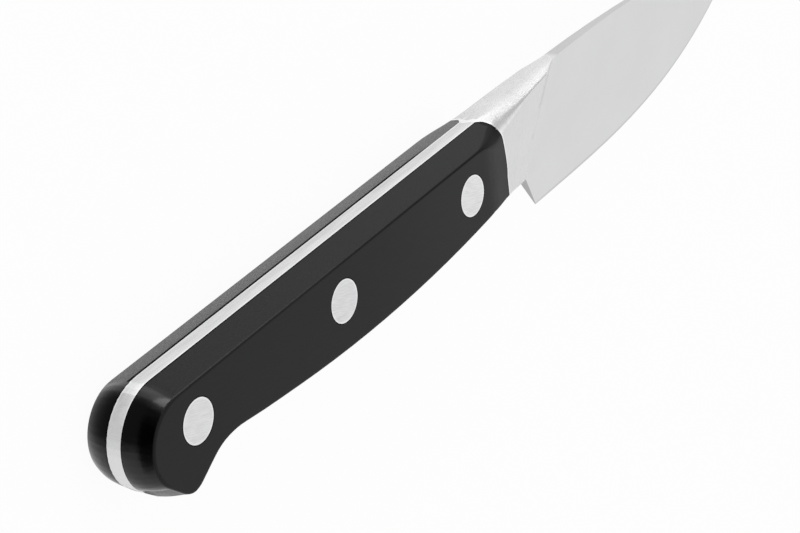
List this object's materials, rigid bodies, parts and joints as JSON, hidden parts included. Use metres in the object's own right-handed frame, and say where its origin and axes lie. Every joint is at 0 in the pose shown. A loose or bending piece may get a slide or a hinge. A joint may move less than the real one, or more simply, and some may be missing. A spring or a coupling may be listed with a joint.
{
  "type": "paring knife",
  "caption": "Forged paring knife with a drop-point blade, a half bolster, a full tang and dark faceted scales held by flush rivets.",
  "frame": {"origin": "on the axis of the middle rivet, in the flat side face of the left scale, which the knife lies on", "axes": "+X along the knife towards the tip, +Y towards the back (spine) of the blade, +Z out of the right side of the handle"},
  "size_m": [0.2001, 0.0244, 0.0122],
  "materials": {
    "steel": "satin, finely brushed",
    "scales": "satin charcoal, smoother on the ground bevels",
    "rivets": "ground flush, finely brushed"
  },
  "bodies": {
    "root": {"blade": "steel", "right_scale": "scales", "left_scale": "scales", "rear_rivet_sleeve": "rivets", "middle_rivet_sleeve": "rivets", "front_rivet_sleeve": "rivets", "rear_rivet_pin": "rivets", "middle_rivet_pin": "rivets", "front_rivet_pin": "rivets"}
  },
  "joints": []
}
